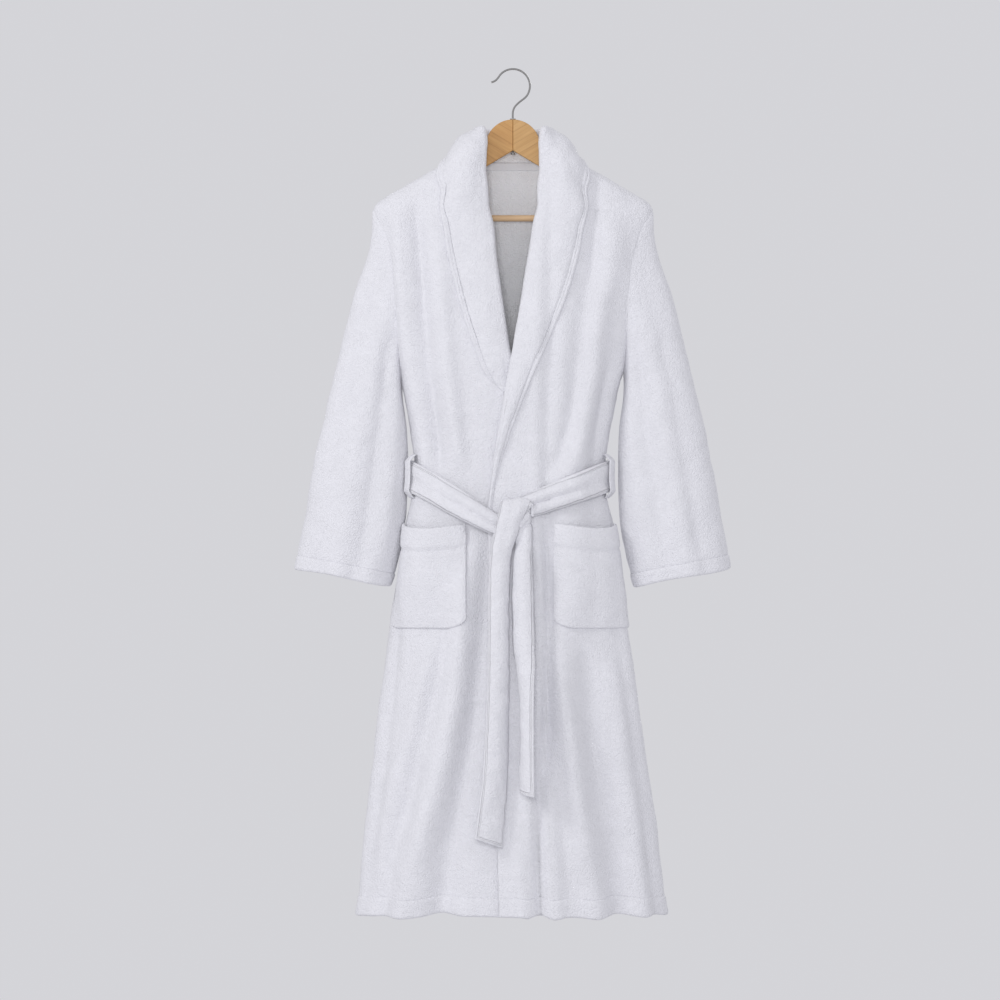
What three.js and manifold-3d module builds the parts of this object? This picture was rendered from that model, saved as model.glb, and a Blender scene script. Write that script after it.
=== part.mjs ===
// A terry bathrobe with a shawl collar, patch pockets and a tied belt, hanging on its wooden hanger.
// Millimetres, +Z up, the front faces -Y and the wearer's left is +X. The origin is the point under the
// crown of the hook where a rail or peg carries it.
import * as THREE from "three";

// ---- driving dimensions ----
const FIT = 0.3; // gap between pieces that meet face to face
const LAYER = 0.7; // gap between cloth layers that lie on each other
const CLOTH = 4; // thickness of one layer of terry
const FACING = 3; // thickness of the facing sewn inside each front
const ROLL_COLLAR = 5; // thickness of the turned collar

const WIRE = 3; // diameter of the hook's wire
const HOOK_RADIUS = 26; // of the hook's crown, to the middle of the wire
const ARM_THICKNESS = 12; // of the wooden hanger, front to back
const ARM_SLOPE = 0.59; // fall of the hanger's shoulders per millimetre outwards
const ARM_APEX_Z = -88; // where the two shoulder lines would meet
const ARM_DEPTH = 36; // height of an arm, measured straight down
const ARM_REACH = 198; // half the width of the hanger
const HEAD_RADIUS = 42; // of the rounded head of the hanger
const HEAD_TOP_Z = -76;
const BAR_DIAMETER = 10;
const BAR_INSET = 26; // from the tip of an arm to the end of the bar
const BAR_REACH = ARM_REACH - BAR_INSET; // half the length of the bar
const BAR_DROP = 1.52; // from the underside of an arm to the middle of the bar's end
const BAR_Z = ARM_APEX_Z - ARM_DEPTH - ARM_SLOPE * BAR_REACH - BAR_DROP;
const STEM_HOLE = 4; // diameter of the hole for the hook's stem

const STAND_TOP_Z = -93; // fold line of the collar
const NECK_Z = -140; // neck seam
const ARMHOLE_TOP_Z = -215;
const ARMHOLE_BOTTOM_Z = -457;
const ARMHOLE_DEPTH = 24; // half the armhole, front to back
const CUFF_DEPTH = 36; // half the cuff, front to back
const CUFF_HEIGHT = 27;
const HEM_Z = -1290;
const HEM_HEIGHT = 27;
const OVERLAP_LIFT = 12; // how far the wearer's left front stands over the right one
const FACING_WIDTH = 55;
const FACING_TOP_Z = -545;

const POCKET_TOP_Z = -698;
const POCKET_BOTTOM_Z = -852;
const POCKET_INNER_X = 66;
const POCKET_BULGE = 16; // how far the pocket's mouth gapes

const BELT_WIDTH = 50;
const BELT_THICKNESS = 7;
const BELT_Z = -622; // middle of the belt at the sides and back
const KNOT = { x: 4, z: -688, width: 54, height: 38, depth: 26 };
const LONG_TAIL_END_Z = -1179;
const SHORT_TAIL_END_Z = -1103;
const TAIL_STAND_OFF = 2; // between the front and the nearest edge of a tail
const LOOP_WIDTH = 12;
const LOOP_THICKNESS = 2.5;
const LOOP_SLACK = 9; // of a loop above and below the belt
const LOOP_HEIGHT = BELT_WIDTH + 2 * LOOP_SLACK;

// ---- smooth curves through a few points ----
// Returns x(z) through [z, x] pairs listed from the top down, as a Catmull-Rom spline.
function through(pairs) {
  const slope = (i) => {
    const a = pairs[Math.max(i - 1, 0)];
    const b = pairs[Math.min(i + 1, pairs.length - 1)];
    return (b[1] - a[1]) / (b[0] - a[0]);
  };
  return (z) => {
    let i = 0;
    while (i < pairs.length - 2 && z < pairs[i + 1][0]) i += 1;
    const [z0, x0] = pairs[i];
    const [z1, x1] = pairs[i + 1];
    const span = z1 - z0;
    const t = Math.min(1, Math.max(0, (z - z0) / span));
    const s = t * t * (3 - 2 * t);
    const bend0 = (t ** 3 - 2 * t * t + t) * span * slope(i);
    const bend1 = (t ** 3 - t * t) * span * slope(i + 1);
    return x0 * (1 - s) + x1 * s + bend0 + bend1;
  };
}

const ramp = (x, from, to) => {
  const t = Math.min(1, Math.max(0, (x - from) / (to - from)));
  return t * t * (3 - 2 * t);
};
const mix = (a, b, t) => a + (b - a) * t;
const degrees = THREE.MathUtils.degToRad;

// ---- the body of the robe: a rounded section at each height ----
const shoulderX = (z) => (1.02 * (ARM_APEX_Z + FIT * 2 - z)) / ARM_SLOPE - 0.2;
const halfWidth = through([
  [STAND_TOP_Z, 60], [-116, 70], [NECK_Z, shoulderX(NECK_Z)], [-160, shoulderX(-160)],
  [-180, shoulderX(-180)], [-200, shoulderX(-200)], [-210, 207], [-224, 209], [-245, 205], [-290, 196],
  [-354, 188], [-430, 176], [-506, 157], [-580, 144], [-625, 142], [-660, 146], [-700, 156], [-810, 170],
  [-962, 189], [-1114, 209], [HEM_Z, 230],
]);
const frontDepth = through([
  [STAND_TOP_Z, 34], [NECK_Z, 27], [-217, 33], [-300, 43], [-450, 52], [BELT_Z, 46], [-700, 52],
  [-900, 68], [HEM_Z, 88],
]);
const backDepth = through([
  [STAND_TOP_Z, 36], [NECK_Z, 27], [-217, 30], [-300, 34], [-450, 38], [BELT_Z, 38], [-700, 42],
  [-900, 52], [HEM_Z, 66],
]);
const ROUNDNESS = 0.8; // exponent of the section: 1 is an ellipse and 0 is a box

// phi is 0 at the front centre, 90 degrees at the wearer's left side and 180 at the back centre.
function sectionPoint(phi, z) {
  const power = (v) => Math.sign(v) * Math.abs(v) ** ROUNDNESS;
  const depth = Math.cos(phi) > 0 ? frontDepth(z) : backDepth(z);
  return new THREE.Vector3(halfWidth(z) * power(Math.sin(phi)), -depth * power(Math.cos(phi)), z);
}
// The point of the body at phi and z, lifted off its inner face along the cloth's normal.
function bodyPoint(phi, z, lift = 0) {
  const along = sectionPoint(phi + 0.002, z).sub(sectionPoint(phi - 0.002, z));
  const down = sectionPoint(phi, z - 1).sub(sectionPoint(phi, z + 1));
  const normal = along.cross(down).normalize();
  if (normal.dot(new THREE.Vector3(Math.sin(phi), -Math.cos(phi), 0)) < 0) normal.negate();
  return sectionPoint(phi, z).addScaledVector(normal, lift);
}
const phiOfX = (x, z) => Math.asin(Math.sign(x) * Math.min(1, Math.abs(x / halfWidth(z))) ** (1 / ROUNDNESS));
const phiOfFrontY = (y, z) => Math.acos(Math.min(1, Math.abs(y) / frontDepth(z)) ** (1 / ROUNDNESS));
const phiOfBackY = (y, z) => Math.PI - Math.acos(Math.min(1, Math.abs(y) / backDepth(z)) ** (1 / ROUNDNESS));

const ARMHOLE_MIDDLE_Z = (ARMHOLE_TOP_Z + ARMHOLE_BOTTOM_Z) / 2;
const ARMHOLE_HALF = (ARMHOLE_TOP_Z - ARMHOLE_BOTTOM_Z) / 2;
// Half the armhole's opening at a height, front to back: zero above and below it.
function armholeHalfDepth(z) {
  const c = (z - ARMHOLE_MIDDLE_Z) / ARMHOLE_HALF;
  return Math.abs(c) < 1 ? ARMHOLE_DEPTH * Math.sqrt(1 - c * c) : 0;
}

// Free edges of the two fronts: the roll line down to the crossing, then the overlap down to the hem.
const leftEdgeX = through([
  [STAND_TOP_Z, 43], [-166, 41], [-233, 36], [-323, 20], [-436, 0], [-537, -15], [-620, -28],
  [-680, -33], [HEM_Z, -18],
]);
const rightEdgeX = through([
  [STAND_TOP_Z, -43], [-172, -41], [-219, -34], [-301, -23], [-382, -10], [-436, 0], [-520, 22],
  [-620, 52], [-700, 62], [HEM_Z, 80],
]);
// How far the wearer's left front is lifted so that it passes over the right one.
const overlapLift = (x, z) => OVERLAP_LIFT * (1 - ramp(x, 78, 138)) * (1 - ramp(z, -400, -250));

// ---- meshes ----
const cloth = new THREE.MeshStandardMaterial({ color: 0xf4f3f8, roughness: 0.95, metalness: 0 });
const tape = new THREE.MeshStandardMaterial({ color: 0xeeedf2, roughness: 0.9, metalness: 0 });
const wood = new THREE.MeshStandardMaterial({ color: 0xc8a070, roughness: 0.5, metalness: 0 });
const steel = new THREE.MeshStandardMaterial({ color: 0x8a8785, roughness: 0.25, metalness: 1 });

const robe = new THREE.Group();

function addMesh(name, geometry, material) {
  const mesh = new THREE.Mesh(geometry, material);
  mesh.name = name;
  robe.add(mesh);
  return mesh;
}

// Six times the volume that a closed indexed geometry holds: negative when it is inside out.
function signedVolume(points, faces) {
  let sum = 0;
  for (let i = 0; i < faces.length; i += 3) {
    const [a, b, c] = [points[faces[i]], points[faces[i + 1]], points[faces[i + 2]]];
    sum += a.dot(new THREE.Vector3().crossVectors(b, c));
  }
  return sum;
}

// A closed solid between two surfaces, inner(u, v) and outer(u, v), with u and v from 0 to 1.
// A ring closes on itself in u, as a sleeve does.
function slab(across, down, inner, outer, ring = false) {
  const wide = ring ? across : across + 1;
  const points = [];
  for (const surface of [inner, outer]) {
    for (let j = 0; j <= down; j += 1) {
      for (let i = 0; i < wide; i += 1) points.push(surface(i / across, j / down));
    }
  }
  const layer = wide * (down + 1);
  const at = (side, i, j) => side * layer + j * wide + (i % wide);
  const faces = [];
  const quad = (a, b, c, d) => faces.push(a, b, c, a, c, d);
  for (let j = 0; j < down; j += 1) {
    for (let i = 0; i < across; i += 1) {
      quad(at(1, i, j), at(1, i + 1, j), at(1, i + 1, j + 1), at(1, i, j + 1));
      quad(at(0, i, j + 1), at(0, i + 1, j + 1), at(0, i + 1, j), at(0, i, j));
    }
  }
  for (let i = 0; i < across; i += 1) {
    quad(at(0, i, 0), at(0, i + 1, 0), at(1, i + 1, 0), at(1, i, 0));
    quad(at(1, i, down), at(1, i + 1, down), at(0, i + 1, down), at(0, i, down));
  }
  for (let j = 0; j < down && !ring; j += 1) {
    quad(at(0, 0, j + 1), at(0, 0, j), at(1, 0, j), at(1, 0, j + 1));
    quad(at(0, across, j), at(0, across, j + 1), at(1, across, j + 1), at(1, across, j));
  }
  if (signedVolume(points, faces) < 0) faces.reverse();
  const geometry = new THREE.BufferGeometry().setFromPoints(points);
  geometry.setIndex(faces);
  geometry.computeVertexNormals();
  return geometry;
}

// A round cord through points.
function cordGeometry(points, radius, sides, steps) {
  const section = new THREE.Shape().absarc(0, 0, radius, 0, 2 * Math.PI);
  const path = new THREE.CatmullRomCurve3(points, false, "centripetal");
  return new THREE.ExtrudeGeometry(section, { extrudePath: path, steps, curveSegments: sides / 2 });
}

// ---- hook ----
function hookPath() {
  const middleZ = WIRE / 2 - HOOK_RADIUS;
  const points = [];
  for (let a = 152; a >= -38; a -= 19) {
    points.push(new THREE.Vector3(
      HOOK_RADIUS * Math.cos(degrees(a)), 0, middleZ + HOOK_RADIUS * Math.sin(degrees(a)),
    ));
  }
  const tip = [new THREE.Vector3(-33, 0, -19), new THREE.Vector3(-27, 0, -16.5)];
  const stem = [[9, -50], [2.5, -57], [0, -64], [0, -80], [0, -104], [0, NUT_Z]];
  return [...tip, ...points, ...stem.map(([x, z]) => new THREE.Vector3(x, 0, z))];
}
const NUT_Z = ARM_APEX_Z - ARM_DEPTH - 2.5; // the stem's end, under the apex of the hanger
addMesh("hook", cordGeometry(hookPath(), WIRE / 2, 12, 64), steel);

const washer = new THREE.LatheGeometry(
  [[WIRE / 2 + FIT, 0], [4.5, 0], [4.5, 1.2], [WIRE / 2 + FIT, 1.2], [WIRE / 2 + FIT, 0]]
    .map(([r, z]) => new THREE.Vector2(r, z)), 20,
).rotateX(Math.PI / 2);
const WASHER_Z = HEAD_TOP_Z + FIT;
addMesh("hook_washer", washer, steel).position.set(0, 0, WASHER_Z);

const NUT_HEIGHT = 3;
const nut = new THREE.CylinderGeometry(3.2, 3.2, NUT_HEIGHT, 12).rotateX(Math.PI / 2);
addMesh("hook_nut", nut, steel).position.set(0, 0, NUT_Z - FIT - NUT_HEIGHT / 2);

// ---- wooden hanger: two arms mitred at the middle, and the bar ----
const armTopZ = (x) => ARM_APEX_Z - ARM_SLOPE * x;
const armBottomZ = (x) => armTopZ(x) - ARM_DEPTH;
// The stem and the bar pass through the arms in clearance holes, made as notches and sockets of the outline.
function armGeometry() {
  const headCentreZ = HEAD_TOP_Z - HEAD_RADIUS;
  const shape = new THREE.Shape();
  const joinAngle = 0.18; // where the head's circle runs into the shoulder line
  shape.absarc(0, headCentreZ, HEAD_RADIUS, Math.acos(FIT / 2 / HEAD_RADIUS), joinAngle, true);
  shape.lineTo(HEAD_RADIUS + 12, armTopZ(HEAD_RADIUS + 12));
  shape.lineTo(ARM_REACH - 12, armTopZ(ARM_REACH - 12));
  shape.quadraticCurveTo(ARM_REACH, armTopZ(ARM_REACH - 2), ARM_REACH, armTopZ(ARM_REACH) - 8);
  shape.lineTo(ARM_REACH - 3, BAR_Z - 6);
  shape.quadraticCurveTo(ARM_REACH - 8, BAR_Z - 14, ARM_REACH - 20, BAR_Z - 14);
  shape.lineTo(BAR_REACH - 8, BAR_Z - 14);
  shape.quadraticCurveTo(BAR_REACH - 20, BAR_Z - 13, BAR_REACH - 34, armBottomZ(BAR_REACH - 34));
  shape.lineTo(FIT / 2, armBottomZ(0) + 0.5);
  shape.closePath();
  return new THREE.ExtrudeGeometry(shape, {
    depth: ARM_THICKNESS - 2, bevelThickness: 1, bevelSize: 1, bevelOffset: -1, bevelSegments: 1,
    curveSegments: 10,
  }).rotateX(Math.PI / 2).translate(0, ARM_THICKNESS / 2 - 1, 0);
}
// Makes a clean solid with manifold-3d from a closed geometry.
const { default: Module } = await import("manifold-3d");
const wasm = await Module();
wasm.setup();
const { mergeVertices } = await import("three/addons/utils/BufferGeometryUtils.js");
function solid(geometry) {
  const bare = geometry.index ? geometry.toNonIndexed() : geometry.clone();
  bare.deleteAttribute("normal");
  bare.deleteAttribute("uv");
  const merged = mergeVertices(bare, 1e-3);
  return new wasm.Manifold(new wasm.Mesh({
    numProp: 3,
    vertProperties: merged.attributes.position.array,
    triVerts: new Uint32Array(merged.index.array),
  }));
}
function geometryOf(made) {
  const mesh = made.getMesh();
  const geometry = new THREE.BufferGeometry();
  geometry.setAttribute("position", new THREE.BufferAttribute(mesh.vertProperties, 3));
  geometry.setIndex(new THREE.BufferAttribute(mesh.triVerts, 1));
  geometry.computeVertexNormals();
  return geometry;
}

const stemHole = solid(
  new THREE.CylinderGeometry(STEM_HOLE / 2, STEM_HOLE / 2, 120, 20)
    .rotateX(Math.PI / 2).translate(0, 0, -100),
);
const nutHole = solid(
  new THREE.CylinderGeometry(4.2, 4.2, 20, 20).rotateX(Math.PI / 2).translate(0, 0, NUT_Z - 7.6),
);
const barHole = solid(
  new THREE.CylinderGeometry(BAR_DIAMETER / 2 + FIT, BAR_DIAMETER / 2 + FIT, 2 * (BAR_REACH + FIT), 20)
    .rotateZ(Math.PI / 2).translate(0, 0, BAR_Z),
);
const leftArm = solid(armGeometry()).subtract(stemHole).subtract(nutHole).subtract(barHole);
const armMesh = geometryOf(leftArm);
addMesh("hanger_left_arm", armMesh, wood);
addMesh("hanger_right_arm", armMesh.clone().rotateZ(Math.PI), wood);

const bar = new THREE.CylinderGeometry(BAR_DIAMETER / 2, BAR_DIAMETER / 2, 2 * BAR_REACH, 20)
  .rotateZ(Math.PI / 2);
addMesh("hanger_bar", bar, wood).position.set(0, 0, BAR_Z);

// ---- body panels ----
const BODY_LEVELS = [
  NECK_Z, -150, -163, -178, -194, -207, -222, -245, -275, -310, -354, -400, -436, -470, -506, -540,
  -580, BELT_Z, -660, -700, -760, -840, -930, -1030, -1140, HEM_Z + HEM_HEIGHT + FIT,
];
const levelAt = (levels, v) => levels[Math.round(v * (levels.length - 1))];

const frontSidePhi = (z) => phiOfFrontY(armholeHalfDepth(z) + FIT / 2, z);
const backSidePhi = (z) => phiOfBackY(armholeHalfDepth(z) + FIT / 2, z);
// A strip of a front between two lifts: side is 1 for the wearer's left and -1 for the right.
function frontStrip(side, levels, across, edgeX, lift, thick) {
  const point = (u, v, extra) => {
    const z = levelAt(levels, v);
    const phi = mix(phiOfX(edgeX(z), z), side * frontSidePhi(z), u);
    return bodyPoint(phi, z, lift(sectionPoint(phi, z).x, z) + extra);
  };
  return slab(across, levels.length - 1, (u, v) => point(u, v, 0), (u, v) => point(u, v, thick));
}
function backStrip(levels, across, thick) {
  const point = (u, v, lift) => {
    const z = levelAt(levels, v);
    return bodyPoint(mix(backSidePhi(z), 2 * Math.PI - backSidePhi(z), u), z, lift);
  };
  return slab(across, levels.length - 1, (u, v) => point(u, v, 0), (u, v) => point(u, v, thick));
}
const flat = () => 0;
addMesh("left_front", frontStrip(1, BODY_LEVELS, 10, leftEdgeX, overlapLift, CLOTH), cloth);
addMesh("right_front", frontStrip(-1, BODY_LEVELS, 12, rightEdgeX, flat, CLOTH), cloth);
addMesh("back_panel", backStrip(BODY_LEVELS, 16, CLOTH), cloth);

// Hems: a doubled band along the bottom of each panel.
const HEM_LEVELS = [HEM_Z + HEM_HEIGHT, HEM_Z];
addMesh("left_front_hem", frontStrip(1, HEM_LEVELS, 10, leftEdgeX, overlapLift, CLOTH + 1), cloth);
addMesh("right_front_hem", frontStrip(-1, HEM_LEVELS, 12, rightEdgeX, flat, CLOTH + 1), cloth);
addMesh("back_hem", backStrip(HEM_LEVELS, 16, CLOTH + 1), cloth);

// Facings: a band sewn inside each front along its free edge, from below the break to the hem.
const FACING_LEVELS = [
  FACING_TOP_Z, -580, BELT_Z, -660, -700, -760, -840, -930, -1030, -1140, HEM_Z + HEM_HEIGHT + FIT,
];
function facing(side, edgeX, lift) {
  const point = (u, v, extra) => {
    const z = levelAt(FACING_LEVELS, v);
    const x = edgeX(z) + side * mix(FIT, FACING_WIDTH, u);
    return bodyPoint(phiOfX(x, z), z, lift(x, z) - LAYER - FACING + extra);
  };
  return slab(3, FACING_LEVELS.length - 1, (u, v) => point(u, v, 0), (u, v) => point(u, v, FACING));
}
addMesh("left_facing", facing(1, leftEdgeX, overlapLift), cloth);
addMesh("right_facing", facing(-1, rightEdgeX, flat), cloth);

// ---- collar: a stand round the neck, and a turned fall that runs down each front as a lapel ----
const STAND_LEVELS = [STAND_TOP_Z, -108, -124, NECK_Z + 2 * FIT];
function collarStand() {
  const point = (u, v, lift) => {
    const z = levelAt(STAND_LEVELS, v);
    return bodyPoint(mix(phiOfX(leftEdgeX(z), z), 2 * Math.PI + phiOfX(rightEdgeX(z), z), u), z, lift);
  };
  return slab(30, STAND_LEVELS.length - 1, (u, v) => point(u, v, 0), (u, v) => point(u, v, CLOTH));
}
addMesh("collar_stand", collarStand(), cloth);

// Stations across the collar from the centre back to the break: where it folds, and where its outer
// edge lies.
const leftOuterX = through([
  [-150, 109], [-190, 110], [-233, 105], [-301, 91], [-369, 69], [-423, 47], [-477, 24], [-537, 2],
  [-600, -16], [-650, -22],
]);
const rightOuterX = through([
  [-150, -109], [-193, -107], [-260, -99], [-309, -88], [-369, -72], [-423, -53], [-469, -34],
  [-496, -14], [-520, 12],
]);
function collarStations(side) {
  const edgeX = side > 0 ? leftEdgeX : rightEdgeX;
  const outerX = side > 0 ? leftOuterX : rightOuterX;
  const neck = [[180, 180, -165], [150, 155, -164], [120, 128, -160], [90, 100, -153], [65, 82, -156]]
    .map(([fold, outer, z]) => [side * degrees(fold), STAND_TOP_Z, side * degrees(outer), z]);
  neck[0][0] -= side * 0.004;
  neck[0][2] -= side * 0.002;
  const pairs = side > 0
    ? [[STAND_TOP_Z, -176], [-128, -200], [-172, -235], [-225, -280], [-285, -330], [-345, -380],
      [-400, -425], [-450, -470], [-505, -518], [-560, -568], [-605, -609], [-640, -642]]
    : [[STAND_TOP_Z, -176], [-128, -200], [-172, -235], [-225, -280], [-285, -330], [-345, -380],
      [-395, -420], [-430, -450], [-462, -476], [-485, -497]];
  const stations = [...neck, ...pairs.map(([fold, outer]) => (
    [phiOfX(edgeX(fold), fold), fold, phiOfX(outerX(outer), outer), outer]
  ))];
  return stations.flatMap((station, i) => (
    i === 0 ? [station] : [station.map((value, k) => (value + stations[i - 1][k]) / 2), station]
  ));
}
// The lift of the collar's inner face: it clears the layers under it and bridges the hollow at the neck.
function collarLift(side, phi, z, across) {
  const under = side > 0 ? overlapLift(sectionPoint(phi, z).x, z) : 0;
  const hollow = 7 * Math.sin(Math.PI * across) * ramp(z, -260, -150);
  const neck = 2.4 * ramp(z, -240, -165);
  return under + CLOTH + LAYER + 0.3 + neck + hollow;
}
function collarSurface(side) {
  const stations = collarStations(side);
  return (u, v, extra) => {
    const [foldPhi, foldZ, outerPhi, outerZ] = stations[Math.round(v * (stations.length - 1))];
    const [phi, z] = [mix(foldPhi, outerPhi, u), mix(foldZ, outerZ, u)];
    return bodyPoint(phi, z, collarLift(side, phi, z, u) + extra);
  };
}
function collarFall(side) {
  const surface = collarSurface(side);
  const inner = (u, v) => surface(u, v, 0);
  const outer = (u, v) => surface(u, v, ROLL_COLLAR);
  return slab(5, collarStations(side).length - 1, inner, outer);
}
addMesh("left_collar", collarFall(1), cloth);
addMesh("right_collar", collarFall(-1), cloth);

// Piping: a covered cord along the collar's outer edge.
const PIPING = 4.4;
function collarPiping(side) {
  const surface = collarSurface(side);
  const count = collarStations(side).length - 1;
  const points = [];
  for (let i = 0; i <= count; i += 1) {
    const edge = surface(1, i / count, ROLL_COLLAR / 2);
    const before = surface(1, Math.max(0, i - 1) / count, ROLL_COLLAR / 2);
    const after = surface(1, Math.min(count, i + 1) / count, ROLL_COLLAR / 2);
    const along = after.sub(before).normalize();
    const away = edge.clone().sub(surface(0.9, i / count, ROLL_COLLAR / 2));
    away.addScaledVector(along, -away.dot(along)).normalize();
    points.push(edge.addScaledVector(away, PIPING / 2 + 4 * FIT));
  }
  points[0].x += side * 0.6;
  return cordGeometry(points, PIPING / 2, 8, 70);
}
addMesh("left_collar_piping", collarPiping(1), cloth);
addMesh("right_collar_piping", collarPiping(-1), cloth);

// Tape over the neck seam inside the back.
const TAPE = { thick: 1.5, top: -141, bottom: -153, reach: degrees(26) };
function neckTape() {
  const point = (u, v, lift) => bodyPoint(
    Math.PI + TAPE.reach * mix(-1, 1, u), mix(TAPE.top, TAPE.bottom, v), -LAYER - TAPE.thick + lift,
  );
  return slab(6, 1, (u, v) => point(u, v, 0), (u, v) => point(u, v, TAPE.thick));
}
addMesh("neck_tape", neckTape(), tape);

// ---- sleeves: a flattened tube from the armhole to the cuff ----
const sleeveInner = new THREE.CatmullRomCurve3([
  [180, ARMHOLE_BOTTOM_Z], [168, -520], [164, -580], [165, -640], [169, -700], [178, -750], [191, -790],
].map(([x, z]) => new THREE.Vector3(x, 0, z)));
const sleeveOuter = new THREE.CatmullRomCurve3([
  [206, ARMHOLE_TOP_Z], [235, -324], [265, -445], [296, -582], [318, -704], [330, -764],
].map(([x, z]) => new THREE.Vector3(x, 0, z)));
const SLEEVE_LENGTH = sleeveOuter.getLength();
const CUFF_START = sleeveOuter.getUtoTmapping(1 - CUFF_HEIGHT / SLEEVE_LENGTH);
const SLEEVE_BREAK = 0.3; // share of the sleeve, from the armhole, below which it swings freely
const BREAK_GAP = 1.2; // between the held and the swinging stretch

// A point of the sleeve's wall: angle 0 is the outer edge, 180 degrees the underarm; t runs from
// armhole to cuff.
function sleevePoint(side, angle, t, lift) {
  const inner = sleeveInner.getPoint(t);
  const outer = sleeveOuter.getPoint(t);
  const middle = inner.clone().add(outer).multiplyScalar(0.5);
  const half = outer.clone().sub(inner).multiplyScalar(0.5);
  const reach = half.length();
  const c = Math.cos(angle);
  const s = Math.sin(angle);
  const depth = mix(ARMHOLE_DEPTH, CUFF_DEPTH, ramp(t, 0, 0.8));
  const point = middle.addScaledVector(half, (c * (reach + lift)) / reach);
  point.y = (depth + lift) * s;
  // The first stretch leaves the armhole's edge, where the front and back panels end.
  const seamZ = ARMHOLE_MIDDLE_Z + (ARMHOLE_HALF + lift) * c;
  const seam = bodyPoint(s < 0 ? frontSidePhi(seamZ) : backSidePhi(seamZ), seamZ, CLOTH).x + 1.6;
  point.x = side * mix(seam, point.x, ramp(t, 0, 0.25));
  return point;
}
function sleeveTube(side, from, to, around, down, thick) {
  const wall = (lift) => (u, v) => sleevePoint(side, 2 * Math.PI * u, mix(from, to, v), lift);
  return slab(around, down, wall(0), wall(thick), true);
}
for (const [name, side] of [["left", 1], ["right", -1]]) {
  const upperEnd = SLEEVE_BREAK - BREAK_GAP / SLEEVE_LENGTH;
  addMesh(`${name}_upper_sleeve`, sleeveTube(side, 0, upperEnd, 20, 6, CLOTH), cloth);
  const cuffSeam = CUFF_START - FIT / SLEEVE_LENGTH;
  addMesh(`${name}_lower_sleeve`, sleeveTube(side, SLEEVE_BREAK, cuffSeam, 20, 9, CLOTH), cloth);
  addMesh(`${name}_cuff`, sleeveTube(side, CUFF_START, 1, 20, 1, CLOTH + 1), cloth);
}

// ---- pockets: patches whose mouth gapes ----
function pocket(side) {
  const lift = side > 0 ? overlapLift : flat;
  const point = (u, v, extra) => {
    const z = mix(POCKET_TOP_Z, POCKET_BOTTOM_Z, v);
    const phi = side * mix(phiOfX(POCKET_INNER_X, z), degrees(80), u);
    const gape = POCKET_BULGE * Math.sin(Math.PI * u) ** 0.7 * Math.cos((Math.PI / 2) * v) ** 0.6;
    return bodyPoint(phi, z, lift(sectionPoint(phi, z).x, z) + CLOTH + LAYER + gape + extra);
  };
  return slab(8, 8, (u, v) => point(u, v, 0), (u, v) => point(u, v, CLOTH));
}
addMesh("left_pocket", pocket(1), cloth);
addMesh("right_pocket", pocket(-1), cloth);

// ---- belt ----
// The lift of the belt's inner face: over the overlap at the front, and close to the body elsewhere.
const beltUnder = (x) => OVERLAP_LIFT * ramp(x, -110, -50) * (1 - ramp(x, 84, 141));
const BELT_KNOT_GAP = KNOT.width / 2 + FIT;
function belt() {
  const startPhi = phiOfX(KNOT.x + BELT_KNOT_GAP, KNOT.z);
  const endPhi = phiOfX(KNOT.x - BELT_KNOT_GAP, KNOT.z);
  const point = (u, v, extra) => {
    const phi = mix(startPhi, 2 * Math.PI + endPhi, u);
    const x = sectionPoint(phi, BELT_Z).x;
    const front = Math.cos(phi) > 0 ? Math.max(0, 1 - Math.abs(x) / halfWidth(BELT_Z)) : 0;
    const middle = mix(BELT_Z, KNOT.z, front);
    const half = mix(BELT_WIDTH, 34, front ** 2) / 2;
    const z = middle + half * (1 - 2 * v);
    const onFront = Math.cos(phi) > 0 ? beltUnder(x) : 0;
    return bodyPoint(phi, z, onFront + CLOTH + LAYER + 0.6 + extra);
  };
  return slab(64, 2, (u, v) => point(u, v, 0), (u, v) => point(u, v, BELT_THICKNESS));
}
addMesh("belt", belt(), cloth);

const knotBackY = bodyPoint(phiOfX(KNOT.x, KNOT.z), KNOT.z, OVERLAP_LIFT + CLOTH + LAYER).y;
const knot = new THREE.SphereGeometry(1, 16, 12);
{
  const position = knot.getAttribute("position");
  const p = new THREE.Vector3();
  for (let i = 0; i < position.count; i += 1) {
    p.fromBufferAttribute(position, i);
    const squarer = (v) => Math.sign(v) * Math.abs(v) ** 0.7;
    position.setXYZ(
      i, squarer(p.x) * KNOT.width / 2, squarer(p.y) * KNOT.depth / 2, squarer(p.z) * KNOT.height / 2,
    );
  }
}
addMesh("belt_knot", knot, cloth).position.set(KNOT.x, knotBackY - KNOT.depth / 2, KNOT.z);

const TAIL_TOP_Z = KNOT.z - KNOT.height / 2 - FIT;
// A tail: where its middle hangs, and how it turns about the vertical below the gathered top. Its width
// is curled lengthways, with the hollow side towards the robe.
function tail({ topX, bottomX, endZ, yaw }) {
  const point = (u, v, out) => {
    const z = mix(TAIL_TOP_Z, endZ, v);
    const x = mix(topX, bottomX, v);
    const turn = degrees(yaw) * ramp(v, 0, 0.25);
    const curl = mix(1.9, 1.25, ramp(v, 0, 0.25));
    const radius = BELT_WIDTH / 2 / curl;
    const reach = radius * (1 - Math.cos(curl)) + radius * Math.abs(Math.sin(curl) * Math.sin(turn));
    const front = bodyPoint(phiOfX(x, z), z, OVERLAP_LIFT + CLOTH).y;
    const base = front - reach - BELT_THICKNESS / 2 - TAIL_STAND_OFF;
    const across = (radius + out) * Math.sin(curl * (2 * u - 1));
    const back = radius - (radius + out) * Math.cos(curl * (2 * u - 1));
    return new THREE.Vector3(
      x + across * Math.cos(turn) - back * Math.sin(turn),
      base + across * Math.sin(turn) + back * Math.cos(turn),
      z,
    );
  };
  const half = BELT_THICKNESS / 2;
  return slab(6, 14, (u, v) => point(u, v, -half), (u, v) => point(u, v, half));
}
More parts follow.
